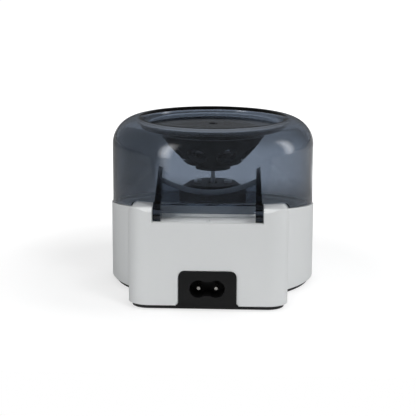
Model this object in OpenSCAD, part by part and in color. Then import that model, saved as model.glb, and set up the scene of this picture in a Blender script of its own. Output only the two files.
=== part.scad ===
// Small personal tube centrifuge: a round white housing, a smoked lid hinged at the rear,
// a fixed-angle rotor on a vertical motor, and a two-pin mains inlet.
// Millimetres. The origin is on the table under the rotor's axis, +Y points to the hinge side, +Z is up.

/* [Housing] */
// Outer radius of the round wall
drum_r = 53.8; // [53:0.1:56]
// Wall thickness of the moulding
shell_wall = 2.4; // [2:0.1:2.8]
// Height of the housing's lower edge above the table
shell_z = 2.6; // [2.4:0.1:3.2]
// Height of the parting plane at the rotor's axis
split_h = 40.8; // [40:0.1:42]
// Slope of the parting plane, rising to the rear, in degrees
split_tilt = 7; // [6:0.25:8]
// Thickness of the deck under the lid
deck_t = 2.4; // [2:0.1:2.8]
// Width of the land between the dish and the housing's outer wall
dish_land = 9.3; // [8.8:0.1:10.3]
// Depth of the dish below the parting plane
dish_depth = 5; // [4.5:0.1:5.5]
// Offset of the dish to the rear
dish_shift = 3; // [2:0.1:3.5]
// Radius between the dish's wall and floor
dish_fillet = 3; // [2:0.1:4]
// Height of the ring that centres the lid
ring_h = 1.2; // [0.8:0.1:1.4]
// Thickness of the ring that centres the lid
ring_t = 1.4; // [1.2:0.1:1.6]

/* [Rear block] */
// Distance from the axis to the rear face
block_y = 68.4; // [67:0.1:70]
// Width of the block
block_w = 79.2; // [77:0.1:81]
// Radius of the block's upright corners
block_corner = 10.4; // [9:0.1:11]
// Height of the block's top above the parting plane
block_rise = 2.7; // [2.4:0.1:3]
// Radius along the block's top edges
block_edge = 3.4; // [2.6:0.1:3.6]

/* [Hinge] */
// Width of the hinge notch
notch_w = 54.6; // [54:0.1:56]
// Height of the notch's rear land above the table
notch_land = 44.3; // [43.8:0.1:44.6]
// Distance from the rotor's axis to the hinge axis
hinge_y = 60.4; // [59.8:0.1:61]
// Height of the hinge axis
hinge_z = 47.8; // [47.5:0.1:48.2]
// Outer radius of a hinge knuckle
knuckle_r = 5.2; // [4.8:0.1:5.4]
// Thickness of a hinge knuckle
knuckle_t = 3.7; // [3.2:0.1:4.2]
// Diameter of the hinge pins
hinge_pin_d = 2.5; // [2.3:0.1:2.8]
// Length of a hinge pin
hinge_pin_l = 9.6; // [9:0.1:11]
// Wall of the bosses that hold the hinge pins
pin_boss_wall = 1.6; // [1.2:0.1:1.7]
// Clearance round the knuckle in its trough
trough_gap = 0.8; // [0.6:0.1:1]
// Width of the rib across the trough
trough_rib_w = 1; // [0.8:0.1:1.4]

/* [Lid] */
// Inset of the lid's wall from the housing's wall
lid_inset = 0.6; // [0.2:0.1:1]
// Wall thickness of the lid
lid_wall = 2; // [1.8:0.1:2.2]
// Height of the rounded rim above the table
lid_top = 86.6; // [85:0.1:88]
// Radius of the rounded shoulder
lid_shoulder = 14; // [12:0.1:15]
// Depth of the shallow well in the top
well_depth = 3.6; // [3:0.1:4]
// Radius of the well's flat floor
well_r = 34.4; // [33:0.1:34.8]
// Diameter of the moulding mark at the middle of the top
mark_d = 4.5; // [4:0.1:5]
// Depth of the moulding mark
mark_depth = 0.5; // [0.3:0.1:0.8]
// Thickness of the sloping web at the hinge
web_t = 2.5; // [2.2:0.1:2.8]
// Height at which the web leaves the lid's wall
web_z = 58.1; // [57.5:0.1:58.6]
// Slope of the web below the horizontal, in degrees
web_slope = 41.5; // [40:0.5:43]
// Distance from the rotor's axis to the web's rear lip
lip_y = 60; // [59.6:0.1:60.2]
// Height of the lip's lower edge
lip_z = 47.3; // [47:0.1:48]
// Height at which the hinge arms leave the lid's wall
arm_z = 69.6; // [68:0.1:70]
// Lean of the hinge arms' outer faces towards each other, in degrees
arm_lean = 4; // [3:0.25:4.5]
// Width of the front finger tab
tab_w = 26; // [22:0.5:28]
// Reach of the finger tab beyond the lid's wall
tab_reach = 8.8; // [6:0.1:9.4]
// Thickness of the finger tab
tab_t = 2.6; // [2.4:0.1:3.2]
// Width of the prong that presses the lid switch
prong_w = 6; // [5:0.1:7]
// Thickness of the prong
prong_t = 1.8; // [1.6:0.1:2]
// Depth of the prong below the parting plane
prong_drop = 5.2; // [5:0.1:5.6]
// Diameter of the lid's magnet
magnet_d = 5; // [4.5:0.1:5.5]
// Thickness of each magnet
magnet_t = 1.8; // [1.6:0.1:2]

/* [Front nose] */
// Width of the front nose
nose_w = 48; // [46:0.5:52]
// Distance from the axis to the nose's front face
nose_y = 66.5; // [65.5:0.1:67.5]
// Radius of the nose's upright corners
nose_corner = 9; // [7:0.1:10]
// Radius of the finger scoop under the tab
scoop_r = 16; // [15:0.5:18]
// Depth of the scoop's lowest point below the parting plane
scoop_depth = 9; // [8:0.1:9.5]

/* [Rotor] */
// Number of tube places
tube_count = 8; // [6:1:8]
// Diameter of a tube hole
tube_hole_d = 11; // [10.8:0.1:11.2]
// Slant of the tubes from the vertical, in degrees
tube_slant = 45; // [43:1:47]
// Radius at which a tube hole crosses the rotor's outer face
tube_r = 20.6; // [20:0.1:21]
// Height at which a tube hole crosses the rotor's outer face
tube_z = 68.2; // [67.5:0.1:69]
// Radius of the rotor's rim
rotor_r = 27; // [26:0.1:28]
// Height of the rotor's rim
rotor_top = 78.6; // [77.5:0.1:79]
// Height of the rotor's flat underside
rotor_floor = 62.2; // [61.8:0.1:62.6]
// Radius of the rotor's flat underside
rotor_floor_r = 14.6; // [14:0.1:15]
// Radius of the rotor's bowed flank
rotor_bow = 56; // [50:1:64]
// Wall thickness of the rotor's dish
rotor_wall = 3; // [2.6:0.1:3.2]
// Radius of the rotor's hub below the dish
hub_r = 9.3; // [8.5:0.1:10]
// Height of the hub's lower end
hub_z = 59.2; // [58.6:0.1:59.6]
// Height of the hub's seat for the knob
hub_top = 68; // [67:0.1:69]
// Diameter of the knurled knob
knob_d = 12.4; // [11:0.1:13]
// Height of the knurled knob
knob_h = 5.6; // [5:0.1:6]
// Number of flutes round the knob
knob_flutes = 18; // [12:1:24]

/* [Motor] */
// Diameter of the motor's can
motor_d = 28; // [27:0.1:29]
// Height of the can's lower end
motor_z = 16; // [15:0.1:17]
// Length of the can
motor_l = 30; // [29:0.1:31]
// Diameter of the motor's shaft
shaft_d = 2.3; // [2:0.1:2.5]
// Running clearance of the shaft in its bush, on the radius
shaft_gap = 0.04; // [0.02:0.01:0.08]
// Height of the cover's flat top
cover_top = 51.4; // [51:0.1:52]
// Radius of the cover's flat top
cover_top_r = 12.8; // [12:0.1:13.5]
// Radius of the cover's body
cover_r = 17.8; // [17:0.1:18.5]
// Height of the cone between the cover's top and body
cover_cone = 3.4; // [3:0.1:4]
// Wall thickness of the cover
cover_wall = 2; // [1.8:0.1:2.2]
// Depth of the cover's seat below the deck's underside at its lowest
cover_seat_drop = 0.2; // [0:0.1:0.6]
// Radius of the cover's flange
flange_r = 25; // [24.5:0.1:26]
// Thickness of the cover's flange
flange_t = 2.4; // [2:0.1:3]
// Thickness of the rubber damper on the motor
damper_t = 1.5; // [1.2:0.1:2]

/* [Mains inlet] */
// Width of the inlet's plate
inlet_w = 28.5; // [28:0.1:30]
// Height of the plate's top edge above the table
inlet_top = 20.3; // [19.8:0.1:21]
// Radius of the plate's upper corners
inlet_corner = 3; // [2:0.1:4]
// Flare of the plate's lower corners
inlet_flare = 1.3; // [1:0.1:1.6]
// How far the plate stands proud of the rear face
inlet_proud = 0.6; // [0.4:0.1:1]
// Depth of the inlet body behind the rear face
inlet_depth = 17; // [16:0.5:20]
// Distance between the two pins
pin_pitch = 8.6;
// Diameter of the pins
pin_d = 2.4;
// Height of the pins above the table
pin_z = 11.4; // [11:0.1:11.8]
// Height of the figure-eight recess
recess_h = 8.8; // [8.6:0.1:9]
// Depth of the recess
recess_depth = 11.5; // [11:0.1:12]
// Distance of the pin ends below the recess mouth
pin_inset = 1.5; // [1:0.1:2]

/* [Power switch] */
// Width of the switch's opening in the nose
switch_w = 13.4; // [13:0.1:14]
// Height of the switch's opening in the nose
switch_h = 9; // [8.6:0.1:9.4]
// Height of the switch's centre above the table
switch_z = 14; // [13.5:0.1:14.5]
// Width of the bezel round the opening
bezel = 1.2; // [1:0.1:1.4]
// Thickness of the bezel
bezel_t = 1; // [0.8:0.1:1.2]
// Depth of the switch body behind the nose's face
switch_depth = 12; // [11:0.1:13]
// Throw of the rocker from off to on, in degrees
rocker_throw = 14; // [12:1:16]

/* [Base and board] */
// Inset of the base plate from the housing's outline
plate_inset = 1.8; // [1.6:0.1:2.2]
// Height of the base plate's underside above the table
plate_z = 0.6; // [0.5:0.1:0.8]
// Height of the spigot that locates the plate in the housing
spigot_h = 2; // [1.6:0.1:2.4]
// Radius of a rubber foot
foot_r = 5.5; // [5:0.1:6]
// Distance of the front feet from the middle, left and right
foot_front_x = 26; // [24:0.5:28]
// Distance of the front feet from the axis
foot_front_y = 37; // [35:0.5:38]
// Distance of the rear feet from the middle, left and right
foot_rear_x = 29; // [27:0.5:30]
// Distance of the rear feet from the axis
foot_rear_y = 57; // [55:0.5:58]
// Inset of the housing's posts from its outer wall
post_inset = 8.8; // [8.3:0.1:9.3]
// Radius of a housing post
post_r = 3.6; // [3.4:0.1:4]
// Diameter of the case screws
case_screw_d = 2.9; // [2.6:0.1:3]
// Length of the circuit board, left to right
board_l = 58; // [56:0.5:60]
// Width of the circuit board, front to rear
board_w = 32; // [30:0.5:33]
// Distance of the board's rear edge from the axis
board_y = 47; // [46:0.5:48]
// Height of the board's underside
board_z = 7; // [6.6:0.1:7.4]
// Thickness of the board
board_t = 1.6; // [1.2:0.1:1.8]
// Distance of the board's screw holes from its edges
board_hole_in = 3.5; // [3:0.1:4]
// Distance of the transformer from the board's middle, to the left
coil_x = 18; // [16:0.5:19]
// Width of the transformer's winding
coil_w = 12; // [11:0.5:13]
// Depth of the transformer's winding, front to rear
coil_l = 13; // [12:0.5:14]
// Height of the transformer's winding
coil_h = 11; // [10:0.5:12]
// Depth of the transformer's core, front to rear
core_l = 8; // [7:0.5:9]
// Thickness of the core's legs
core_t = 2; // [1.5:0.1:2.2]
// Diameter of the large capacitor
cap_big_d = 10; // [9:0.5:11]
// Height of the large capacitor
cap_big_h = 14; // [12:0.5:15]
// Distance of the large capacitor from the board's middle, to the right
cap_big_x = 17; // [15:0.5:18]
// Diameter of the small capacitor
cap_small_d = 6.3; // [5:0.1:7]
// Height of the small capacitor
cap_small_h = 11; // [9:0.5:12]
// Distance of the small capacitor from the board's middle, to the right
cap_small_x = 6; // [5:0.5:7]
// Diameter of the fuse
fuse_d = 5; // [4.8:0.1:5.4]
// Length of the fuse
fuse_l = 12; // [10:0.5:14]
// Height of the fuse's middle above the board
fuse_z = 3; // [2.8:0.1:3.4]
// Width of a lead connector
plug_w = 8; // [7:0.5:8.5]
// Depth of a lead connector, front to rear
plug_l = 5; // [4.5:0.1:5.5]
// Height of a lead connector
plug_h = 6; // [5:0.5:7]
// Wall thickness of a lead connector
plug_wall = 1; // [0.8:0.1:1.2]

/* [Fits] */
// Gap between the closed lid and the housing
lid_gap = 0.4; // [0.3:0.05:0.5]
// Gap at each side of a hinge knuckle
side_gap = 0.3; // [0.25:0.05:0.4]
// Running clearance of the hinge pin, on the radius
pin_gap = 0.05; // [0.02:0.01:0.08]
// Clearance of fixed pieces in their openings
fit_gap = 0.1; // [0.05:0.01:0.2]
// Clearance of sliding and rocking pieces
move_gap = 0.3; // [0.25:0.05:0.35]

/* [Hidden] */
$fn = 96;
// Reach of a cutting tool past the face it cuts
over = 1;
// Size of the blocks that cut along the parting plane
big = 200;
// Height of the tool that the outlines are extruded to
tall = 70;
slope = tan(split_tilt);
dish_r = drum_r - dish_land;
post_circle = drum_r - post_inset;
lid_r = drum_r - lid_inset;
lid_in_r = lid_r - lid_wall;
// Height of the parting plane at a distance y from the axis
function split_at(y) = split_h + slope * y;
// Radius of the two equal arcs that join the well's floor to the rim
rim_r = lid_r - lid_shoulder;
well_arc = ((rim_r - well_r) ^ 2 + well_depth ^ 2) / (4 * well_depth);
motor_top = motor_z + motor_l;
// Height of the seat under the cover's flange, just under the deck at the flange's front
cover_seat = split_at(-flange_r) - (dish_depth + deck_t) / cos(split_tilt) - cover_seat_drop;
board_x = 0;
board_mid = board_y - board_w / 2;
board_top = board_z + board_t;
rocker_y = -nose_y + 3.4;

// Children drawn in the frame of the sloping parting plane
module tilted() {
    translate([0, 0, split_h]) rotate([split_tilt, 0, 0]) children();
}

// Everything above a height h over the parting plane
module above_split(h = 0) {
    tilted() translate([-big / 2, -big / 2, h]) cube([big, big, big]);
}

// Rectangle with rounded corners from x0, y0 to x1, y1
module round_rect(x0, y0, x1, y1, r) {
    translate([x0 + r, y0]) square([x1 - x0 - 2 * r, y1 - y0]);
    translate([x0, y0 + r]) square([x1 - x0, y1 - y0 - 2 * r]);
    for (x = [x0 + r, x1 - r], y = [y0 + r, y1 - r])
        translate([x, y]) circle(r);
}

// Plan of the rear block, drawn in by i
module block_plan(i = 0) {
    round_rect(-block_w / 2 + i, 0, block_w / 2 - i, block_y - i, block_corner - i);
}

// Plan of the front nose, drawn in by i
module nose_plan(i = 0) {
    round_rect(-nose_w / 2 + i, -nose_y + i, nose_w / 2 - i, 0, nose_corner - i);
}

// Whole plan of the housing, drawn in by i
module housing_plan(i = 0) {
    circle(drum_r - i);
    block_plan(i);
    nose_plan(i);
}

// Section of the block across its width in the parting plane's frame, drawn in by i
module block_section(i = 0) {
    w = block_w / 2 - i;
    t = block_rise - i;
    e = block_edge - i / 2;
    translate([-w, -tall]) square([2 * w, tall + t - e]);
    translate([-w + e, -tall]) square([2 * (w - e), tall + t]);
    for (x = [-w + e, w - e]) translate([x, t - e]) circle(e);
}

// Section of the block from front to rear in the parting plane's frame, drawn in by i
module block_side(i = 0) {
    y1 = (block_y - i) / cos(split_tilt) + 0.3;
    t = block_rise - i;
    e = block_edge - i / 2;
    translate([0, -tall]) square([y1, tall + t - e]);
    translate([0, -tall]) square([y1 - e, tall + t]);
    translate([y1 - e, t - e]) circle(e);
}

// The rear block from a height z0 up, drawn in by i
module block_form(i = 0, z0 = shell_z) {
    intersection() {
        translate([0, 0, z0]) linear_extrude(tall) block_plan(i);
        tilted() translate([0, big / 2, 0]) rotate([90, 0, 0])
            linear_extrude(big) block_section(i);
        tilted() translate([-big / 2, 0, 0]) rotate([90, 0, 90])
            linear_extrude(big) block_side(i);
    }
}

// The dish in the deck as a tool, grown by i
module dish_tool(i = 0) {
    r = dish_r + i;
    f = dish_fillet + i;
    tilted() translate([0, dish_shift, -dish_depth - i]) rotate_extrude() {
        square([r - f, tall / 2]);
        translate([0, f]) square([r, tall / 2 - f]);
        translate([r - f, f]) circle(f);
    }
}

// Hinge notch between the block's cheeks, open at the top and the rear, grown by i
module notch_tool(i = 0) {
    w = notch_w / 2 + i;
    difference() {
        union() {
            translate([-w, 0, notch_land - i]) cube([2 * w, big, tall]);
            translate([-w, hinge_y, hinge_z]) rotate([0, 90, 0])
                cylinder(r = knuckle_r + trough_gap + i, h = 2 * w);
        }
        translate([0, 0, -over]) cylinder(r = drum_r - i, h = big);
    }
}

// Finger scoop in the nose as a tool, grown by i
scoop_y = -drum_r - 0.8 - sqrt(scoop_r ^ 2 - (scoop_r - scoop_depth) ^ 2);
module scoop_tool(i = 0) {
    translate([0, scoop_y, split_at(scoop_y) + scoop_r - scoop_depth]) sphere(r = scoop_r + i);
}

// Inside of the housing below the deck
module housing_cavity() {
    difference() {
        union() {
            difference() {
                translate([0, 0, shell_z - over]) linear_extrude(tall) {
                    circle(drum_r - shell_wall);
                    nose_plan(shell_wall);
                }
                above_split(-deck_t);
            }
            block_form(shell_wall, shell_z - over);
        }
        dish_tool(deck_t);
        notch_tool(shell_wall);
        scoop_tool(shell_wall - 0.4);
    }
}

post_angles = [40, 140, 220, 320];
// Length of a post's screw hole
post_hole_l = 12;
// Height of the lower ends of the housing's posts
post_z = shell_z + spigot_h + 1.6;
// Depth and reach of the prong's slot in the deck
slot_y = lid_in_r - 0.9;
slot_gap = 1.1;
// Place of the lid switch under the prong
lid_switch_w = 12.8;
lid_switch_t = 5.8;
lid_switch_h = 6.5;
prong_y = -slot_y + prong_t / 2;
prong_z = split_at(prong_y) - prong_drop;
lid_switch_y = prong_y;
plunger_l = 1.1;
lid_switch_top = prong_z - move_gap - plunger_l;
lid_switch_pitch = 9.5;
lid_switch_screw_d = 1.8;
lid_switch_screw_z = lid_switch_top - lid_switch_h + 1.8;
rib_t = 2.2;
rib_y = lid_switch_y + lid_switch_t / 2 + fit_gap;
// Magnet places beside the prong
magnet_x = 8.5;
// Width of the opening in the ring at the front
ring_open = 2 * magnet_x + magnet_d + 4;
magnet_y = -slot_y + 2.2;

module base_housing() {
    color("whitesmoke") difference() {
        union() {
            difference() {
                union() {
                    difference() {
                        translate([0, 0, shell_z]) linear_extrude(tall) {
                            circle(drum_r);
                            nose_plan();
                        }
                        above_split();
                    }
                    block_form();
                    // Ring that centres the lid
                    difference() {
                        translate([0, 0, shell_z]) cylinder(r = lid_in_r - 0.6, h = tall);
                        translate([0, 0, shell_z - over]) cylinder(r = lid_in_r - 0.6 - ring_t, h = big);
                        above_split(ring_h);
                        // Room for the prong and the magnets' bosses
                        translate([-ring_open / 2, -big, 0]) cube([ring_open, big, big]);
                    }
                }
                housing_cavity();
            }
            // Seat for the motor's cover
            intersection() {
                translate([0, 0, cover_seat]) cylinder(r = flange_r, h = tall);
                tilted() translate([0, 0, -tall]) cylinder(r = dish_r - 2, h = tall - dish_depth + 0.2);
            }
            // Screw posts
            for (a = post_angles) intersection() {
                translate([post_circle * cos(a), post_circle * sin(a), post_z])
                    cylinder(r = post_r, h = tall);
                tilted() translate([0, 0, -tall]) cylinder(r = big, h = tall - deck_t / 2);
            }
            // Bosses for the hinge pins
            for (s = [-1, 1]) translate([s * notch_w / 2, hinge_y, hinge_z]) rotate([0, s * 90, 0])
                cylinder(d = hinge_pin_d + 2 * pin_boss_wall, h = hinge_pin_l - knuckle_t + 1);
            // Rib that carries the lid switch
            intersection() {
                translate([-lid_switch_w / 2 - 2, rib_y, lid_switch_top - lid_switch_h])
                    cube([lid_switch_w + 4, rib_t, tall]);
                tilted() translate([0, 0, -tall]) cylinder(r = big, h = tall - deck_t / 2);
            }
        }
        dish_tool();
        difference() {
            notch_tool();
            translate([-trough_rib_w / 2, 0, 0])
                cube([trough_rib_w, block_y - 3, hinge_z - knuckle_r + 1]);
        }
        // Bore for the motor's cover
        translate([0, 0, cover_seat - over]) cylinder(r = cover_r + fit_gap, h = tall);
        // Screw holes
        for (a = post_angles) translate([post_circle * cos(a), post_circle * sin(a), post_z - over])
            cylinder(d = case_screw_d - 0.4, h = post_hole_l + over);
        for (a = cover_screw_angles) translate([cover_screw_r * cos(a), cover_screw_r * sin(a), cover_seat - over])
            cylinder(d = cover_screw_d - 0.4, h = cover_screw_l + over);
        for (x = [-1, 1] * lid_switch_pitch / 2) translate([x, rib_y - over, lid_switch_screw_z])
            rotate([-90, 0, 0]) cylinder(d = lid_switch_screw_d - 0.3, h = rib_t + 2 * over);
        // Bores for the hinge pins
        for (s = [-1, 1]) translate([s * (notch_w / 2 - over), hinge_y, hinge_z]) rotate([0, s * 90, 0])
            cylinder(d = hinge_pin_d + 0.02, h = hinge_pin_l - knuckle_t + over + 0.1);
        // Opening for the inlet
        translate([0, block_y - shell_wall - over, shell_z - over]) rotate([-90, 0, 0])
            mirror([0, 1, 0]) linear_extrude(shell_wall + 2 * over)
            inlet_plan(fit_gap, over);
        // Opening for the power switch
        translate([-switch_w / 2, -nose_y - over, switch_z - switch_h / 2])
            cube([switch_w, shell_wall + 2 * over, switch_h]);
        // Slot for the prong
        translate([-prong_w / 2 - slot_gap, -slot_y - slot_gap, lid_switch_top])
            cube([prong_w + 2 * slot_gap, prong_t + 2 * slot_gap, tall]);
        // Finger scoop under the tab
        scoop_tool();
        // Pockets for the catch magnets
        for (x = [-magnet_x, magnet_x]) tilted() translate([x, magnet_y, -magnet_t - fit_gap])
            cylinder(d = magnet_d + 2 * fit_gap, h = tall);
    }
}

// Face of the inlet from its lower edge up, grown by g, its lower edge lowered by d
module inlet_plan(g = 0, d = 0) {
    h = inlet_top - shell_z + g + d;
    w = inlet_w / 2 + g;
    r = inlet_corner + g;
    translate([-w, 0]) square([2 * w, h - r]);
    translate([-w + r, 0]) square([2 * (w - r), h]);
    for (x = [-w + r, w - r]) translate([x, h - r]) circle(r);
    // Lower corners, flared at 45 degrees
    foot = w + inlet_flare + 0.41 * g + d;
    polygon([[-foot, 0], [foot, 0], [w - 1, foot - w + 1], [-w + 1, foot - w + 1]]);
}

// Screw with a round head: shank up, head below the seat
module screw(d, l, head_d, head_h) {
    cylinder(d = d, h = l);
    difference() {
        translate([0, 0, -head_h]) cylinder(d = head_d, h = head_h);
        for (a = [0, 90]) rotate([0, 0, a]) translate([-head_d * 0.3, -0.3, -head_h - over])
            cube([head_d * 0.6, 0.6, head_h * 0.5 + over]);
    }
}

case_head_d = 5.4;
case_head_h = 1.8;
cover_screw_angles = [90, 210, 330];
cover_screw_r = 21.5;
cover_screw_d = 2.5;
cover_screw_l = 3.4;

module plate_boss_place(a) {
    translate([post_circle * cos(a), post_circle * sin(a), 0]) children();
}

module bottom_plate() {
    color("black") difference() {
        union() {
            translate([0, 0, plate_z]) linear_extrude(shell_z - plate_z) housing_plan(plate_inset);
            translate([0, 0, shell_z]) difference() {
                linear_extrude(spigot_h) housing_plan(shell_wall + 0.3);
                translate([0, 0, -over]) linear_extrude(spigot_h + 2 * over)
                    housing_plan(shell_wall + 0.3 + 1.6);
            }
            for (a = post_angles) plate_boss_place(a)
                translate([0, 0, plate_z]) cylinder(r = post_r, h = post_z - fit_gap - plate_z);
            for (x = [-1, 1], y = [-1, 1])
                translate([board_x + x * board_hole_x, board_mid + y * board_hole_y, plate_z])
                cylinder(d = 5, h = board_z - plate_z);
        }
        for (a = post_angles) plate_boss_place(a) {
            translate([0, 0, plate_z - over]) cylinder(d = case_screw_d + 0.3, h = tall);
            translate([0, 0, plate_z - over]) cylinder(d = case_head_d + 0.4, h = over + 2.2);
        }
        for (x = [-1, 1], y = [-1, 1])
            translate([board_x + x * board_hole_x, board_mid + y * board_hole_y, board_z - 5])
            cylinder(d = board_screw_d - 0.3, h = 5 + over);
        for (p = foot_places) translate([p.x, p.y, plate_z - over])
            cylinder(r = foot_r + fit_gap, h = over + foot_sink);
        // Room for the inlet's plate and the housing's rim round it
        translate([-inlet_w / 2 - 0.3, block_y - inlet_depth - 1, shell_z])
            cube([inlet_w + 0.6, inlet_depth + 2, tall]);
        // Cooling slots
        for (i = [-3:3]) translate([i * 5 - 1, -22, plate_z - over]) cube([2, 16, 4 + over]);
    }
}

foot_places = [
    [foot_front_x, -foot_front_y], [-foot_front_x, -foot_front_y],
    [foot_rear_x, foot_rear_y], [-foot_rear_x, foot_rear_y]
];
foot_sink = 1.2;
module rubber_feet() {
    color("dimgray") for (p = foot_places)
        translate([p.x, p.y, 0]) {
            cylinder(r1 = foot_r - 0.4, r2 = foot_r, h = 0.4);
            translate([0, 0, 0.4]) cylinder(r = foot_r, h = plate_z + foot_sink - 0.4);
        }
}

module case_screws() {
    color("silver") for (a = post_angles) plate_boss_place(a)
        translate([0, 0, plate_z + 2.2]) screw(case_screw_d - 0.4, 13, case_head_d, case_head_h);
}

// Figure-eight recess of the inlet, as a plan in X and Z round the pins' height
module recess_plan() {
    translate([-pin_pitch / 2, 0]) circle(d = recess_h);
    translate([pin_pitch / 2, 0]) circle(d = recess_h);
    translate([-pin_pitch / 2, -recess_h / 2 + 0.9]) square([pin_pitch, recess_h - 1.8]);
}

inlet_body_w = 22;
inlet_body_h = 14;
module inlet_body() {
    color("black") difference() {
        union() {
            translate([0, block_y - shell_wall, shell_z]) rotate([-90, 0, 0])
                mirror([0, 1, 0]) linear_extrude(shell_wall + inlet_proud) inlet_plan();
            translate([-inlet_body_w / 2, block_y - inlet_depth, pin_z - inlet_body_h / 2])
                cube([inlet_body_w, inlet_depth, inlet_body_h]);
        }
        translate([0, block_y + inlet_proud + over, pin_z]) rotate([90, 0, 0])
            linear_extrude(recess_depth + over) recess_plan();
        for (x = [-1, 1] * pin_pitch / 2) translate([x, block_y + inlet_proud, pin_z])
            rotate([90, 0, 0]) cylinder(d = pin_d, h = inlet_depth + 2 * over);
    }
}

tail_l = 6;
module inlet_pins() {
    color("lightgray") for (x = [-1, 1] * pin_pitch / 2) {
        y0 = block_y - inlet_depth - 0.5;
        y1 = block_y + inlet_proud - pin_inset;
        translate([x, y0, pin_z]) rotate([-90, 0, 0]) cylinder(d = pin_d, h = y1 - y0 - 0.6);
        translate([x, y1 - 0.6, pin_z]) rotate([-90, 0, 0]) cylinder(d1 = pin_d, d2 = pin_d - 0.8, h = 0.6);
        translate([x - 1.6, y0 - tail_l, pin_z - 0.4]) cube([3.2, tail_l, 0.8]);
    }
}

module hinge_pins() {
    color("silver") for (s = [-1, 1])
        translate([s * (notch_w / 2 - side_gap - knuckle_t + 0.3), hinge_y, hinge_z]) rotate([0, s * 90, 0])
        cylinder(d = hinge_pin_d, h = hinge_pin_l);
}

// Section of the lid's body from the axis out, drawn in by o
module lid_section(o = 0) {
    r = lid_r - o;
    t = lid_top - o;
    f = lid_shoulder - o;
    fl = lid_top - well_depth - o;
    ra = well_arc + o;
    rb = max(well_arc - o, 0.2);
    z0 = 20;
    mid_x = well_r + (rim_r - well_r) * ra / (ra + rb);
    mid_z = fl + (t - fl) * ra / (ra + rb);
    difference() {
        union() {
            translate([0, z0]) square([r, t - f - z0]);
            translate([0, z0]) square([r - f, t - z0]);
            translate([r - f, t - f]) circle(f);
        }
        difference() {
            union() {
                polygon([
                    [-over, fl], [well_r, fl], [mid_x, mid_z], [rim_r, t],
                    [rim_r, t + over], [-over, t + over]
                ]);
                intersection() {
                    translate([well_r, fl + ra]) circle(ra);
                    translate([well_r - over, fl - over]) square([mid_x - well_r + over, t - fl + over]);
                }
            }
            translate([rim_r, t - rb]) circle(rb);
        }
    }
}

// Side view of a hinge arm: a bar that leaves the knuckle on a tangent and ends in the lid's wall
module arm_side() {
    top_y = arm_top_y - hinge_y;
    top_z = arm_z - hinge_z;
    d = norm([top_y, top_z]);
    a = atan2(top_z, top_y);
    b = acos(knuckle_r / d);
    polygon([
        [-3, -0.6],
        [knuckle_r * 0.8, -0.6],
        knuckle_r * [cos(a - b), sin(a - b)],
        [top_y, top_z],
        [top_y - 8, top_z - 4],
        [top_y - 4, 3.4],
        [-3.6, 3.4]
    ]);
}

arm_x = notch_w / 2 - side_gap;
arm_top_y = 46;
arm_in = 0.25;

// The round shell, cut at the parting plane and stepped up over the block
module lid_shell() {
    difference() {
        rotate_extrude() difference() {
            lid_section();
            lid_section(lid_wall);
        }
        translate([0, 0, lid_top - well_depth - mark_depth]) cylinder(d = mark_d, h = tall);
        tilted() translate([-big / 2, -big / 2, lid_gap - big]) cube([big, big, big]);
        block_form(-lid_gap);
    }
}

module lid() {
    color([0.25, 0.27, 0.3, 0.6]) difference() {
        union() {
            lid_shell();
            difference() {
                union() {
                    web();
                    // Hinge arms
                    for (s = [-1, 1]) intersection() {
                        translate([s > 0 ? arm_x - knuckle_t : -arm_x, hinge_y, hinge_z])
                            rotate([90, 0, 90]) linear_extrude(knuckle_t) arm_side();
                        translate([s * (arm_x - arm_in), 0, hinge_z]) rotate([0, -s * arm_lean, 0])
                            translate([s > 0 ? -big : 0, 0, -big / 2]) cube([big, big, big]);
                    }
                    // Finger tab
                    tilted() translate([0, -lid_r - tab_reach, lid_gap]) linear_extrude(tab_t)
                        round_rect(-tab_w / 2, 0, tab_w / 2, tab_reach + 8, 4);
                }
                cylinder(r = lid_r - lid_wall / 2, h = big);
            }
            // Knuckles
            for (s = [-1, 1]) translate([s * arm_x, hinge_y, hinge_z]) rotate([0, -s * 90, 0])
                cylinder(r = knuckle_r, h = knuckle_t);
            // Prong and its root, and bosses for the magnets
            intersection() {
                union() {
                    translate([-prong_w / 2, -slot_y, prong_z])
                        cube([prong_w, prong_t, split_at(prong_y) + 3 - prong_z]);
                    tilted() translate([-prong_w / 2 - 1, -lid_r, lid_gap])
                        cube([prong_w + 2, lid_wall + 0.9 + prong_t + 0.4, 3.6]);
                    for (x = [-magnet_x, magnet_x]) tilted() translate([x, magnet_y, lid_gap])
                        cylinder(d = magnet_d + 2.4, h = magnet_t + 1.6);
                }
                cylinder(r = lid_r - lid_wall / 2, h = big);
            }
        }
        for (s = [-1, 1]) translate([s * (arm_x + over), hinge_y, hinge_z]) rotate([0, -s * 90, 0])
            cylinder(r = hinge_pin_d / 2 + pin_gap, h = knuckle_t + 2 * over);
        for (x = [-magnet_x, magnet_x]) tilted() translate([x, magnet_y, lid_gap - over])
            cylinder(d = magnet_d + 2 * fit_gap, h = magnet_t + fit_gap + over);
    }
}

// Sloping web between the arms, with the lip at its rear
module web() {
    low = web_z - (lip_y - lid_r) * tan(web_slope);
    root = web_z + (lid_r - web_root_y) * tan(web_slope);
    drop = web_t / cos(web_slope);
    w = arm_x - 2.4;
    translate([-w, 0, 0]) rotate([90, 0, 90]) linear_extrude(2 * w) polygon([
        [web_root_y, root],
        [lip_y, low],
        [lip_y, lip_z],
        [lip_y - web_t, lip_z],
        [lip_y - web_t, low + web_t * tan(web_slope) - drop],
        [web_root_y, root - drop]
    ]);
}
web_root_y = 44;

module lid_magnet() {
    color("silver") for (x = [-magnet_x, magnet_x]) tilted() translate([x, magnet_y, lid_gap + fit_gap])
        cylinder(d = magnet_d, h = magnet_t);
}

module housing_magnet() {
    color("silver") for (x = [-magnet_x, magnet_x]) tilted() translate([x, magnet_y, -magnet_t - fit_gap])
        cylinder(d = magnet_d, h = magnet_t);
}

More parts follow.
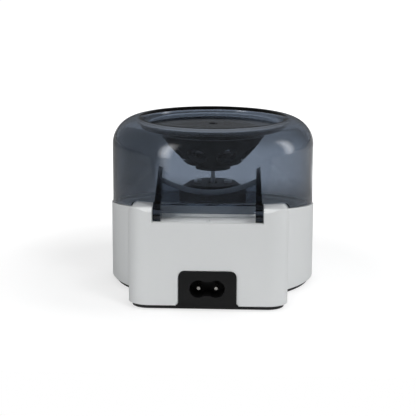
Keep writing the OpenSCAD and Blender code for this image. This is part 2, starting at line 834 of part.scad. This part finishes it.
module motor_cover() {
    cone_z = cover_top - cover_cone;
    color("black") difference() {
        rotate_extrude() {
            polygon([
                [shaft_d / 2 + 1.6, cover_top - cover_wall], [shaft_d / 2 + 1.6, cover_top],
                [cover_top_r, cover_top], [cover_r, cone_z], [cover_r, cover_seat],
                [flange_r, cover_seat], [flange_r, cover_seat - flange_t],
                [cover_r - cover_wall, cover_seat - flange_t],
                [cover_r - cover_wall, cone_z - 0.6],
                [cover_top_r - 0.8, cover_top - cover_wall]
            ]);
        }
        for (a = cover_screw_angles)
            translate([cover_screw_r * cos(a), cover_screw_r * sin(a), cover_seat - flange_t - over])
            cylinder(d = cover_screw_d + 0.2, h = flange_t + 2 * over);
        for (x = [-1, 1] * motor_screw_pitch / 2) translate([x, 0, cover_top - cover_wall - over])
            cylinder(d = motor_screw_d + 0.2, h = cover_wall + 2 * over);
    }
}

module cover_screws() {
    color("silver") for (a = cover_screw_angles)
        translate([cover_screw_r * cos(a), cover_screw_r * sin(a), cover_seat - flange_t])
        screw(cover_screw_d - 0.4, flange_t + cover_screw_l - 0.4, 4.6, 1.6);
}

motor_screw_pitch = 16;
motor_screw_d = 2.5;
damper_top = cover_top - cover_wall;
motor_boss_h = damper_top - motor_top - damper_t - 0.2;

module motor_damper() {
    color("dimgray") translate([0, 0, damper_top - damper_t]) difference() {
        cylinder(r = cover_top_r - 1.2, h = damper_t);
        translate([0, 0, -over]) cylinder(d = bush_d + 2, h = damper_t + 2 * over);
        for (x = [-1, 1] * motor_screw_pitch / 2) translate([x, 0, -over])
            cylinder(d = motor_screw_d + 0.2, h = damper_t + 2 * over);
    }
}

bush_d = 6;
bush_l = 4.4;
can_t = 1;
module motor_can() {
    face = damper_top - damper_t;
    color("silver") difference() {
        union() {
            translate([0, 0, motor_z]) cylinder(d = motor_d, h = face - motor_z - 1.2);
            translate([0, 0, face - 1.2]) cylinder(d1 = motor_d, d2 = motor_d - 2.4, h = 1.2);
        }
        translate([0, 0, motor_z - over]) cylinder(d = motor_d - 2 * can_t, h = face - motor_z - can_t - 1.2 + over);
        translate([0, 0, motor_z]) cylinder(d = bush_d, h = tall);
        for (x = [-1, 1] * motor_screw_pitch / 2) translate([x, 0, face - 4])
            cylinder(d = motor_screw_d - 0.3, h = 5);
    }
}

module motor_bush() {
    face = damper_top - damper_t;
    color("peru") translate([0, 0, face - 2.2]) difference() {
        cylinder(d = bush_d, h = bush_l - 1.4);
        translate([0, 0, -over]) cylinder(r = shaft_d / 2 + shaft_gap, h = bush_l + 2 * over);
    }
}

cap_h = 3;
module motor_end_cap() {
    color("black") difference() {
        union() {
            translate([0, 0, motor_z - cap_h]) cylinder(d = motor_d - 1, h = cap_h);
            translate([0, 0, motor_z]) cylinder(d = motor_d - 2 * can_t, h = 2);
        }
        translate([0, 0, motor_z - cap_h + 1]) cylinder(r = shaft_d / 2 + shaft_gap, h = cap_h + 2);
    }
}

module motor_terminals() {
    color("gold") for (x = [-9, 9]) translate([x - 1.4, -0.4, motor_z - cap_h - 3.6])
        cube([2.8, 0.8, 3.6]);
}

module motor_screws() {
    color("silver") for (x = [-1, 1] * motor_screw_pitch / 2) translate([x, 0, cover_top])
        mirror([0, 0, 1]) screw(motor_screw_d - 0.4, cover_wall + damper_t + 1, 4.2, 1.2);
}

shaft_low = motor_z - cap_h + 1.1;
shaft_top = hub_top - 2;
module motor_shaft() {
    color("lightgray") union() {
        translate([0, 0, shaft_low]) cylinder(d = shaft_d, h = shaft_top - shaft_low);
        // Armature on the shaft
        translate([0, 0, motor_z + 6]) cylinder(d = motor_d - 2 * can_t - 4, h = motor_l - 12);
    }
}

// Centre of the circle that bows the rotor's flank from the floor's edge to the rim
flank_half = [rotor_r - rotor_floor_r, rotor_top - rotor_floor] / 2;
flank_len = norm(flank_half);
flank_in = sqrt(rotor_bow ^ 2 - flank_len ^ 2) / flank_len;
flank_x = rotor_floor_r + flank_half.x - flank_half.y * flank_in;
flank_z = rotor_floor + flank_half.y + flank_half.x * flank_in;

// Section of the rotor's dish: hub, flat underside and bowed flank
module rotor_section() {
    intersection() {
        difference() {
            translate([flank_x, flank_z]) circle(rotor_bow, $fn = 360);
            translate([flank_x, flank_z]) circle(rotor_bow - rotor_wall, $fn = 360);
        }
        translate([rotor_floor_r - rotor_wall, rotor_floor]) square([30, rotor_top - rotor_floor]);
    }
    translate([0, rotor_floor]) square([rotor_floor_r - 0.4, rotor_wall]);
    translate([0, hub_z]) square([hub_r, hub_top - hub_z]);
}

module rotor() {
    color([0.08, 0.08, 0.09]) difference() {
        rotate_extrude() rotor_section();
        for (i = [0:tube_count - 1]) rotate([0, 0, 90 + (i + 0.5) * 360 / tube_count])
            translate([tube_r, 0, tube_z]) rotate([0, 180 - tube_slant, 0]) {
                translate([0, 0, -14]) cylinder(d = tube_hole_d, h = 24);
                translate([0, 0, -16 - rotor_wall / 2]) cylinder(d = tube_hole_d + 2.6, h = 16 - rotor_wall / 2);
            }
        translate([0, 0, hub_z - over]) cylinder(d = shaft_d, h = shaft_top - hub_z + over);
        translate([0, 0, shaft_top - 0.01]) cylinder(d = knob_screw_d, h = 10);
    }
}

knob_screw_d = 3;
module rotor_knob() {
    color("dimgray") difference() {
        union() {
            translate([0, 0, hub_top]) cylinder(d = knob_d, h = knob_h - 1);
            translate([0, 0, hub_top + knob_h - 1]) cylinder(d1 = knob_d, d2 = knob_d - 2, h = 1);
            translate([0, 0, shaft_top + 0.2]) cylinder(d = knob_screw_d, h = hub_top - shaft_top);
        }
        for (i = [0:knob_flutes - 1]) rotate([0, 0, i * 360 / knob_flutes])
            translate([knob_d / 2 + 0.5, 0, hub_top - over]) cylinder(r = 0.9, h = knob_h + 2 * over, $fn = 24);
    }
}

board_hole_x = board_l / 2 - board_hole_in;
board_hole_y = board_w / 2 - board_hole_in;
board_screw_d = 2.5;
module circuit_board() {
    color("darkgreen") difference() {
        translate([board_x - board_l / 2, board_y - board_w, board_z]) cube([board_l, board_w, board_t]);
        for (x = [-1, 1], y = [-1, 1])
            translate([board_x + x * board_hole_x, board_mid + y * board_hole_y, board_z - over])
            cylinder(d = board_screw_d + 0.2, h = board_t + 2 * over);
    }
}

module board_screws() {
    color("silver") for (x = [-1, 1], y = [-1, 1])
        translate([board_x + x * board_hole_x, board_mid + y * board_hole_y, board_top])
        mirror([0, 0, 1]) screw(board_screw_d - 0.3, board_t + 3.6, 4.2, 1.4);
}

// Height of the core's underside above the board
core_z = (coil_h - core_t * 3) * 0.3;
module transformer() {
    translate([-coil_x, board_mid + 1, board_top]) {
        color("goldenrod") translate([-coil_w / 2, -coil_l / 2, 0]) cube([coil_w, coil_l, coil_h]);
        color("dimgray") difference() {
            translate([-coil_w / 2 - core_t, -core_l / 2, core_z])
                cube([coil_w + 2 * core_t, core_l, coil_h - core_z + core_t]);
            translate([-coil_w / 2, -core_l / 2 - over, core_z + core_t])
                cube([coil_w, core_l + 2 * over, coil_h - core_z - core_t]);
        }
    }
}

module capacitors() {
    color("midnightblue") {
        translate([cap_big_x, board_mid + 3, board_top]) cylinder(d = cap_big_d, h = cap_big_h);
        translate([cap_small_x, board_mid + 6, board_top]) cylinder(d = cap_small_d, h = cap_small_h);
    }
}

fuse_y = board_mid - 9;
module fuse() {
    color("ivory") translate([1, fuse_y, board_top + fuse_z]) rotate([0, 90, 0]) cylinder(d = fuse_d, h = fuse_l);
    // Clips that hold its ends
    color("silver") for (x = [1.6, fuse_l - 0.8])
        translate([x, fuse_y - fuse_d / 4, board_top]) cube([1, fuse_d / 2, fuse_z - 1]);
}

module board_connectors() {
    color("white") for (x = [-13, -3]) difference() {
        translate([x - plug_w / 2, board_mid - 15, board_top]) cube([plug_w, plug_l, plug_h]);
        translate([x - plug_w / 2 + plug_wall, board_mid - 15 + plug_wall, board_top + plug_wall])
            cube([plug_w - 2 * plug_wall, plug_l - 2 * plug_wall, plug_h]);
    }
}

rocker_pivot_y = -nose_y - bezel_t + 2.2;
rocker_r = 7.4;
module switch_frame() {
    color("black") difference() {
        union() {
            translate([-switch_w / 2 - bezel, -nose_y - bezel_t, switch_z - switch_h / 2 - bezel])
                cube([switch_w + 2 * bezel, bezel_t, switch_h + 2 * bezel]);
            translate([-switch_w / 2 + fit_gap, -nose_y, switch_z - switch_h / 2 + fit_gap])
                cube([switch_w - 2 * fit_gap, switch_depth, switch_h - 2 * fit_gap]);
        }
        translate([-rocker_l / 2 - move_gap, -nose_y - bezel_t - over, switch_z - rocker_w / 2 - move_gap])
            cube([rocker_l + 2 * move_gap, switch_pocket + over, rocker_w + 2 * move_gap]);
    }
}

rocker_l = 11;
rocker_w = 6.6;
switch_pocket = 6.4;
module power_rocker() {
    // The rocker turns on an upright axis; its two faces meet in a shallow valley
    half = rocker_throw / 2;
    color("black") translate([0, rocker_pivot_y, switch_z]) rotate([0, 0, half])
        translate([0, 0, -rocker_w / 2]) linear_extrude(rocker_w) difference() {
            intersection() {
                circle(r = rocker_l / 2);
                translate([-rocker_l / 2, -4.2]) square([rocker_l, 7]);
            }
            translate([0, -rocker_face_r - 2.2]) circle(rocker_face_r);
        }
}
rocker_face_r = 22;

module switch_terminals() {
    color("gold") for (x = [-3.5, 3.5]) translate([x - 0.4, -nose_y + switch_depth, switch_z - 2.4])
        cube([0.8, 6, 4.8]);
}

module lid_switch() {
    color("black") difference() {
        translate([-lid_switch_w / 2, lid_switch_y - lid_switch_t / 2, lid_switch_top - lid_switch_h])
            cube([lid_switch_w, lid_switch_t, lid_switch_h]);
        for (x = [-1, 1] * lid_switch_pitch / 2)
            translate([x, lid_switch_y - lid_switch_t / 2 - over, lid_switch_screw_z]) rotate([-90, 0, 0])
            cylinder(d = lid_switch_screw_d + 0.2, h = lid_switch_t + 2 * over);
        translate([0, lid_switch_y, lid_switch_top - plunger_sink]) cylinder(d = plunger_d + 2 * 0.08, h = tall);
    }
}

plunger_d = 2.2;
plunger_sink = 3.2;
plunger_travel = 0.8;
module lid_switch_plunger() {
    color("red") translate([0, lid_switch_y, lid_switch_top - plunger_sink + plunger_travel + 0.3]) {
        l = plunger_sink - plunger_travel - 0.3 + plunger_l;
        cylinder(d = plunger_d, h = l - 0.3);
        translate([0, 0, l - 0.3]) cylinder(d1 = plunger_d, d2 = plunger_d - 0.6, h = 0.3);
    }
}

module lid_switch_screws() {
    color("silver") for (x = [-1, 1] * lid_switch_pitch / 2)
        translate([x, lid_switch_y - lid_switch_t / 2, lid_switch_screw_z]) rotate([-90, 0, 0])
        screw(lid_switch_screw_d - 0.3, lid_switch_t + rib_t - 0.4, 3.2, 1);
}

base_housing();
bottom_plate();
rubber_feet();
case_screws();
inlet_body();
inlet_pins();
hinge_pins();
lid();
lid_magnet();
housing_magnet();
motor_cover();
cover_screws();
motor_damper();
motor_can();
motor_bush();
motor_end_cap();
motor_terminals();
motor_screws();
motor_shaft();
rotor();
rotor_knob();
circuit_board();
board_screws();
transformer();
capacitors();
fuse();
board_connectors();
switch_frame();
power_rocker();
switch_terminals();
lid_switch();
lid_switch_plunger();
lid_switch_screws();
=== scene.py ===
# A small tube centrifuge seen from behind: white housing, smoked lid, mains inlet.
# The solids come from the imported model; this script gives them their finishes, light and camera.
import math

import bmesh
import bpy
import mathutils
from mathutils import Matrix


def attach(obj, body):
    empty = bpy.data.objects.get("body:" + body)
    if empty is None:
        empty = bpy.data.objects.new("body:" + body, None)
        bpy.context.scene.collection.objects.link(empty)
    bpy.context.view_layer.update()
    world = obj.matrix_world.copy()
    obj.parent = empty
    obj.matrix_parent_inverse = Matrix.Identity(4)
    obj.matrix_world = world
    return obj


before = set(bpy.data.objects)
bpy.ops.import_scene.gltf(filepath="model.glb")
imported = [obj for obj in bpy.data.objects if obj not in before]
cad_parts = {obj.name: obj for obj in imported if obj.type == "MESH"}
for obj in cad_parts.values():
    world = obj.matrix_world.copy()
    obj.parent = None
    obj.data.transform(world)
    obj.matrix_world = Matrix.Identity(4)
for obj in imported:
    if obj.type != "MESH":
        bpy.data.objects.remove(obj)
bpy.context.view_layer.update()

# Camera
# A long lens about 0.7 m behind the instrument and 0.1 m above its lid. It stands a little to
# the right of the mains inlet and is turned back towards it, as in the photograph.
lens_mm, sensor_mm = 115.87, 36.0
camera_place = (-0.02547, 0.70190, 0.19122)
camera_turn = (77.6228, -0.2815, -177.6533)
nearest = 0.05

lens = bpy.data.cameras.new("rear_lens")
lens.sensor_width = sensor_mm
lens.lens = lens_mm
lens.clip_start = nearest
camera = bpy.data.objects.new("rear_camera", lens)
camera.location = camera_place
camera.rotation_euler = [math.radians(angle) for angle in camera_turn]
bpy.context.collection.objects.link(camera)
bpy.context.scene.camera = camera
bpy.context.scene.view_settings.view_transform = "Standard"

# Table
# A pale matt laminate top that runs out of sight and ends just behind the instrument. It glows:
# the lens sees it white, with a soft shade round the feet that is partly its real shadow and
# partly painted shade, where the glow is weaker. Gloss and the clear lid see it dark, with a
# painted pool of light in front of the instrument, painted shade at the pool's sides and a dim
# painted glow far off.
table_side, table_front, table_rear = 3.0, -4.0, 0.16
black, white = (0, 0, 0), (1, 1, 1)
laminate_dark, laminate_pale = (0.40, 0.405, 0.41), (0.44, 0.44, 0.44)

# Each pair is a dark and a bright place of the painted glow, in metres from the rotor's axis
pool_left, pool_right = (0.042, 0.028), (-0.2, -0.09)
pool_near, pool_far = (-0.2, -0.28), (-0.56, -0.38)
far_side, horizon = (0.03, -0.05), (-0.8, -1.4)
painted_feet_shade = (0.09, 0.24)
left_lean, right_least, far_least = 0.07, 0.15, 0.5
painted_pool_glow, painted_horizon_glow, least_glow = 0.85, 0.25, 0.02
painted_shade_depth = 0.35


class Wire:
    """One socket of a material. Arithmetic on it adds Math nodes; add() places any other node."""

    def __init__(self, tree, plug=None):
        self.tree, self.plug = tree, plug

    def add(self, kind, inputs=None, out=0, **settings):
        """Another node of the tree: what feeds it, which output is wanted, and its settings."""
        node = self.tree.nodes.new("ShaderNode" + kind)
        for name, value in settings.items():
            setattr(node, name, value)
        for name, value in (inputs or {}).items():
            if isinstance(value, Wire):
                self.tree.links.new(value.plug, node.inputs[name])
            else:
                node.inputs[name].default_value = value
        return Wire(self.tree, node.outputs[out] if len(node.outputs) else None)

    def calc(self, operation, a, b):
        return self.add("Math", {0: a, 1: b}, operation=operation)

    def __add__(self, other):
        return self.calc("ADD", self, other)

    def __rsub__(self, other):
        return self.calc("SUBTRACT", other, self)

    def __mul__(self, other):
        return self.calc("MULTIPLY", self, other)

    def over(self, low, high):
        """0 at low and beyond, 1 at high and beyond, straight between."""
        return self.add("MapRange", {"Value": self, "From Min": low, "From Max": high})

    def along(self, axis):
        """One part of a vector: 0 is X, 1 is Y."""
        return self.add("SeparateXYZ", {"Vector": self}, axis)

    def blend(self, dark, pale):
        """A colour, dark at 0 and pale at 1. Sockets 6, 7 and 2 are Mix's colours and result."""
        return self.add("Mix", {0: self, 6: (*dark, 1), 7: (*pale, 1)}, 2, data_type="RGBA")


def blank(name):
    """A new material without nodes, and a wire in it."""
    made = bpy.data.materials.new(name)
    made.use_nodes = True
    made.node_tree.nodes.clear()
    return made, Wire(made.node_tree)


def light_path(wire, *names):
    """1 where a ray is of any of the named kinds."""
    kinds = [wire.add("LightPath", out=name) for name in names]
    while len(kinds) > 1:
        kinds.append(wire.calc("MAXIMUM", kinds.pop(), kinds.pop()))
    return kinds[0]


def matt_laminate(wire):
    place = wire.add("TexCoord", out="Object")
    grain = wire.add("TexNoise", {"Vector": place, "Scale": 900.0, "Detail": 3.0})
    matt = wire.add("BsdfDiffuse", {"Color": grain.blend(laminate_dark, laminate_pale)})

    away = wire.add("VectorMath", {0: place}, 1, operation="LENGTH")
    side, deep = place.along(0), place.along(1)
    # Painted light: a pool seen only in gloss and through the lid, with painted shade at its sides
    painted_pool_sides = ((side + deep * left_lean).over(*pool_left)
           * (side.over(*pool_right) * (1 - right_least) + right_least))
    least = side.over(*far_side) * far_least
    pool = painted_pool_sides * deep.over(*pool_near) * (deep.over(*pool_far) * (1 - least) + least)
    # Painted light: a dim glow far off, seen only in gloss and through the lid
    far_off = deep.over(*horizon) * painted_horizon_glow + least_glow

    by_lens = light_path(wire, "Is Camera Ray")
    by_lid = light_path(wire, "Is Glossy Ray", "Is Transmission Ray")
    share = by_lens + by_lid * (pool * painted_pool_glow + far_off)
    # Painted shade round the feet: the glow is weaker near the instrument, on top of its real
    # shadow
    lift = (away.over(*painted_feet_shade) * painted_shade_depth + (1 - painted_shade_depth)) * share
    glow = wire.add("Emission", {"Color": lift.blend(black, white)})
    return wire.add("AddShader", {0: matt, 1: glow})


table_mat, wire = blank("table_top")
wire.add("OutputMaterial", {"Surface": matt_laminate(wire)})
mesh = bpy.data.meshes.new("table_top")
mesh.from_pydata([(-table_side, table_front, 0), (table_side, table_front, 0),
                  (table_side, table_rear, 0), (-table_side, table_rear, 0)],
                 [], [(0, 1, 2, 3)])
mesh.materials.append(table_mat)
table = bpy.data.objects.new("table_top", mesh)
bpy.context.collection.objects.link(table)

# Room and lamps
# A dim even room that looks white to the lens and through the clear lid. A tall soft box on each
# side shows in gloss and through the lid; the five other lamps only light the instrument.
dim_room = (0.08, 0.08, 0.08)
aim_height = 0.05
side_fade, end_fade = 0.5, 0.3

room = bpy.data.worlds.new("room")
bpy.context.scene.world = room
room.use_nodes = True
room.node_tree.nodes.clear()
wire = Wire(room.node_tree)
seen = light_path(wire, "Is Camera Ray", "Is Transmission Ray")
wire.add("OutputWorld", {"Surface": wire.add("Background", {"Color": seen.blend(dim_room, white)})})


def softbox(name, azimuth, height, reach, size, watts, mirrored=True):
    """A lamp that fades to its edges, aimed at the lid from azimuth degrees round from the rear.

    Reach is its distance from the rotor's axis. Only a mirrored lamp shows in gloss and through
    the lid.
    """
    lamp = bpy.data.lights.new(name, "AREA")
    lamp.shape = "RECTANGLE"
    lamp.size, lamp.size_y = size
    lamp.energy = watts
    lamp.use_nodes = True
    lamp.node_tree.nodes.clear()
    wire = Wire(lamp.node_tree)
    patch = wire.add("NewGeometry", out="Parametric")
    across, up = patch.along(0), patch.along(1)
    fade = (across.over(0, side_fade) * across.over(1, 1 - side_fade)
            * up.over(0, end_fade) * up.over(1, 1 - end_fade))
    hot = wire.add("Emission", {"Color": fade.blend(black, white)})
    wire.add("OutputLight", {"Surface": hot})

    box = bpy.data.objects.new(name, lamp)
    turn = math.radians(azimuth)
    box.location = (-reach * math.sin(turn), reach * math.cos(turn), height)
    out = box.location.copy()
    out.z -= aim_height
    box.rotation_euler = out.to_track_quat("Z", "Y").to_euler()
    box.visible_glossy = box.visible_transmission = mirrored
    bpy.context.collection.objects.link(box)


softbox("box_left", -52, 0.35, 0.9, (0.34, 1.1), 7.0)
softbox("box_right", 96, 0.3, 0.9, (0.35, 0.9), 4.5)
softbox("box_side", 84, 0.5, 0.9, (0.5, 0.6), 5.5, mirrored=False)
softbox("box_key", 36, 0.75, 0.85, (0.6, 0.5), 14.5, mirrored=False)
softbox("box_fill", -25, 0.3, 1.2, (0.6, 0.4), 8.0, mirrored=False)
softbox("box_front", 160, 0.6, 1.1, (0.8, 0.5), 8.0, mirrored=False)
softbox("box_over", 0, 0.95, 0.0, (1.0, 0.8), 3.5, mirrored=False)

# Housing
# One white ABS moulding: round wall, rear block with the hinge notch, nose, sloping deck. Its
# faces carry the fine even grain of a spark-eroded mould, and its edges a small moulded radius.
plastic = {"IOR": 1.5}


def dress(name, nodes, shader, colour, rough=None, bump=None, depth=0.0, edge=0.0, fill=None):
    """A finish on nodes and pieces.

    The shader's values are constants. Colour, rough and bump vary over the piece; depth is the
    height of the bump, edge a soft radius on corners, and fill what the inside is filled with.
    """
    made, wire = blank(name)
    place = wire.add("TexCoord", out="Object")
    inputs = {**shader, "Base Color": colour(place)}
    if rough:
        inputs["Roughness"] = rough(place)
    if edge:
        inputs["Normal"] = wire.add("Bevel", {"Radius": edge}, samples=4)
    if bump:
        relief = {"Height": bump(place), "Distance": depth}
        if edge:
            relief["Normal"] = inputs["Normal"]
        inputs["Normal"] = wire.add("Bump", relief)
    ends = {"Surface": wire.add("BsdfPrincipled", inputs)}
    if fill:
        ends["Volume"] = fill(wire)
    wire.add("OutputMaterial", ends)
    for node in nodes:
        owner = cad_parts[node] if isinstance(node, str) else node
        if owner.material_slots:
            for slot in owner.material_slots:
                slot.material = made
        else:
            owner.data.materials.append(made)


def cloud(scale, detail=2.0):
    """A soft noise over the piece, scale in spots per metre."""
    return lambda place: place.add("TexNoise", {"Vector": place, "Scale": scale, "Detail": detail})


def between(low, high, field):
    """A number that wanders from low to high with the field."""
    return lambda place: field(place) * (high - low) + low


def tinted(dark, pale, field):
    """A colour that wanders between two with the field."""
    return lambda place: field(place).blend(dark, pale)


dress("white_abs", ["base_housing"], plastic,
      colour=tinted((0.765, 0.785, 0.79), (0.80, 0.815, 0.82), cloud(35)),
      rough=between(0.34, 0.46, cloud(400)),
      bump=cloud(2600, 3), depth=0.02e-3, edge=0.6e-3)

# Lid
# One smoked polycarbonate moulding, polished inside and out, with its hinge arms, web and tab.
# The surface has only a faint tint. The smoke is in the depth, so that thin walls stay clear and
# the thick arms turn nearly black.
smoke, smoke_density = (0.50, 0.515, 0.54), 540.0


def smoky(wire):
    return wire.add("VolumeAbsorption", {"Color": (*smoke, 1), "Density": smoke_density})


dress("smoked_lid", ["lid"], {**plastic, "Transmission Weight": 1.0, "Roughness": 0.015},
      colour=tinted((0.65, 0.71, 0.79), (0.67, 0.73, 0.81), cloud(20)),
      fill=smoky)

# Hinge pins and screws
# Turned steel pins pressed into the cheeks of the notch, the motor's ground shaft, and plated
# pan-head screws.
metal = {"Metallic": 1.0}
pins = ["hinge_pins", "motor_shaft"]
screws = ["case_screws", "cover_screws", "motor_screws", "board_screws", "lid_switch_screws"]
for name, nodes in (("pin_steel", pins), ("plated_screws", screws)):
    dress(name, nodes, metal,
          colour=tinted((0.5, 0.5, 0.5), (0.66, 0.66, 0.67), cloud(900)),
          rough=between(0.22, 0.4, cloud(1500)),
          bump=cloud(4000), depth=0.004e-3)

# Mains inlet
# A black nylon body set in the rear block, its face a little proud of the housing, with two
# nickelled pins in the recess.
dress("inlet_black", ["inlet_body"], plastic,
      colour=tinted((0.0035, 0.0035, 0.004), (0.006, 0.006, 0.0065), cloud(300)),
      rough=between(0.42, 0.54, cloud(700)),
      bump=cloud(3000, 3), depth=0.01e-3, edge=0.4e-3)
dress("nickel", ["inlet_pins"], metal,
      colour=tinted((0.62, 0.6, 0.56), (0.78, 0.76, 0.72), cloud(800)),
      rough=between(0.18, 0.32, cloud(1200)))

# Base plate and feet
# A black moulded plate set in from the housing's edge and screwed up from below, on four soft
# rubber feet. The motor's end cap is of the same plastic, and its ring of the same rubber.
dress("black_plate", ["bottom_plate", "motor_end_cap"], plastic,
      colour=tinted((0.014, 0.014, 0.015), (0.022, 0.022, 0.023), cloud(200)),
      rough=between(0.45, 0.6, cloud(600)),
      bump=cloud(2500, 3), depth=0.03e-3)
dress("soft_rubber", ["rubber_feet", "motor_damper"], plastic,
      colour=tinted((0.02, 0.02, 0.02), (0.04, 0.04, 0.04), cloud(500)),
      rough=between(0.7, 0.85, cloud(900)),
      bump=cloud(3500, 3), depth=0.05e-3)

# Rotor and knob
# A black glass-filled nylon rotor with eight slanted places, held on the shaft by a fluted knob
# of dark grey nylon.
dress("rotor_black", ["rotor"], plastic,
      colour=tinted((0.003, 0.003, 0.0034), (0.006, 0.006, 0.0065), cloud(300)),
      rough=between(0.42, 0.52, cloud(700)),
      bump=cloud(2500, 3), depth=0.006e-3)
dress("knob_grey", ["rotor_knob"], plastic,
      colour=tinted((0.03, 0.03, 0.032), (0.045, 0.045, 0.048), cloud(300)),
      rough=between(0.4, 0.5, cloud(700)),
      bump=cloud(2500, 3), depth=0.02e-3)

# Motor and its cover
# A black moulded tower through the deck, screwed on from below. Inside it are a drawn steel can,
# a sintered bronze bush and tinned brass tags like those of the power switch.
dress("cover_black", ["motor_cover"], plastic,
      colour=tinted((0.004, 0.004, 0.0045), (0.007, 0.007, 0.0075), cloud(200)),
      rough=between(0.45, 0.55, cloud(500)),
      bump=cloud(2500, 3), depth=0.006e-3)
dress("drawn_can", ["motor_can"], metal,
      colour=tinted((0.45, 0.45, 0.46), (0.6, 0.6, 0.6), cloud(300)),
      rough=between(0.25, 0.45, cloud(500)),
      bump=cloud(3000), depth=0.01e-3)
dress("sintered_bronze", ["motor_bush"], metal,
      colour=tinted((0.5, 0.32, 0.14), (0.65, 0.44, 0.2), cloud(2000)),
      rough=between(0.4, 0.6, cloud(3000)),
      bump=cloud(6000), depth=0.02e-3)
dress("tinned_brass", ["motor_terminals", "switch_terminals"], metal,
      colour=tinted((0.7, 0.52, 0.24), (0.8, 0.62, 0.32), cloud(900)),
      rough=between(0.25, 0.4, cloud(1500)))

# Board and its parts
# A green lacquered board screwed inside the housing. It carries a small lacquered transformer,
# capacitors in shrunk sleeves, a glass fuse and white nylon headers.
dress("board_green", ["circuit_board"], {**plastic, "Coat Weight": 0.3},
      colour=tinted((0.01, 0.12, 0.045), (0.015, 0.17, 0.06), cloud(400)),
      rough=between(0.3, 0.45, cloud(900)),
      bump=cloud(2000), depth=0.02e-3)
dress("core_lacquer", ["transformer"], plastic,
      colour=tinted((0.16, 0.12, 0.06), (0.3, 0.24, 0.12), cloud(500)),
      rough=between(0.35, 0.5, cloud(700)),
      bump=cloud(2500), depth=0.03e-3)
dress("sleeve_blue", ["capacitors"], plastic,
      colour=tinted((0.02, 0.03, 0.1), (0.03, 0.045, 0.14), cloud(300)),
      rough=between(0.2, 0.35, cloud(700)))
dress("fuse_glass", ["fuse"], {**plastic, "Transmission Weight": 0.6},
      colour=tinted((0.75, 0.78, 0.75), (0.85, 0.87, 0.85), cloud(300)),
      rough=between(0.04, 0.1, cloud(700)))
dress("white_nylon", ["board_connectors", "lid_switch_plunger"], plastic,
      colour=tinted((0.7, 0.69, 0.63), (0.78, 0.77, 0.72), cloud(300)),
      rough=between(0.4, 0.55, cloud(700)))

# Switches
# A black panel switch in the nose with a polished rocker, and the lid's small snap switch, which
# is screwed in under the deck.
dress("switch_black", ["switch_frame", "lid_switch"], plastic,
      colour=tinted((0.012, 0.012, 0.013), (0.02, 0.02, 0.021), cloud(300)),
      rough=between(0.4, 0.5, cloud(700)),
      bump=cloud(3000, 3), depth=0.02e-3)
dress("rocker_black", ["power_rocker"], plastic,
      colour=tinted((0.01, 0.01, 0.011), (0.018, 0.018, 0.019), cloud(300)),
      rough=between(0.15, 0.25, cloud(700)))

# Rocker marks
# A stroke and a ring in white print, one at each end of the rocker's curved face. Rays sent in
# from the front find the face, and the print lies half in it.
mark_out = 3.1e-3
stroke_w, stroke_h = 0.45e-3, 2.4e-3
ring_in, ring_out = 0.85e-3, 1.25e-3
print_t = 0.034e-3
ring_steps = 40
ray_start, weld = 0.02, 1e-7
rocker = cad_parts["power_rocker"]
corners = [rocker.matrix_world @ mathutils.Vector(corner) for corner in rocker.bound_box]
rocker_mid = sum(corners, mathutils.Vector()) / len(corners)


def laid(x, z):
    """The point of the rocker's face at x, z from its middle, in the scene's frame."""
    inward = rocker.matrix_world.inverted()
    start = rocker_mid + mathutils.Vector((x, -ray_start, z))
    heading = inward.to_3x3() @ mathutils.Vector((0, 1, 0))
    place = rocker.ray_cast(inward @ start, heading)[1]
    return rocker.matrix_world @ place


def printed(name, rows):
    """A thin closed print through a grid of x, z points."""
    cage = bmesh.new()
    grid = [[cage.verts.new(laid(x, z)) for x, z in row] for row in rows]
    for low, high in zip(grid, grid[1:]):
        for a in range(len(low) - 1):
            cage.faces.new((low[a], low[a + 1], high[a + 1], high[a]))
    bmesh.ops.remove_doubles(cage, verts=cage.verts, dist=weld)
    bmesh.ops.recalc_face_normals(cage, faces=cage.faces)
    mesh = bpy.data.meshes.new(name)
    cage.to_mesh(mesh)
    cage.free()
    piece = bpy.data.objects.new(name, mesh)
    bpy.context.collection.objects.link(piece)
    skin = piece.modifiers.new("print", "SOLIDIFY")
    skin.thickness, skin.offset = print_t, 0
    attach(piece, "rocker_body")
    return piece


stroke_rows = [[(mark_out + u * stroke_w, v * stroke_h) for u in (-0.5, 0, 0.5)]
               for v in (-0.5, -0.25, 0, 0.25, 0.5)]
turns = [2 * math.pi * step / ring_steps for step in range(ring_steps + 1)]
ring_rows = [[(r * math.cos(turn) - mark_out, r * math.sin(turn)) for turn in turns]
             for r in (ring_in, ring_out)]
stroke, ring = printed("rocker_stroke", stroke_rows), printed("rocker_ring", ring_rows)
dress("white_print", [stroke, ring], plastic,
      colour=tinted((0.72, 0.72, 0.71), (0.82, 0.82, 0.81), cloud(900)),
      rough=between(0.5, 0.65, cloud(1200)))

# Magnets
# Nickelled discs set in the lid's bosses and in the deck under them, which hold the lid shut by
# their pull.
dress("magnet_nickel", ["lid_magnet", "housing_magnet"], metal,
      colour=tinted((0.6, 0.6, 0.6), (0.72, 0.72, 0.72), cloud(800)),
      rough=between(0.12, 0.25, cloud(1200)))
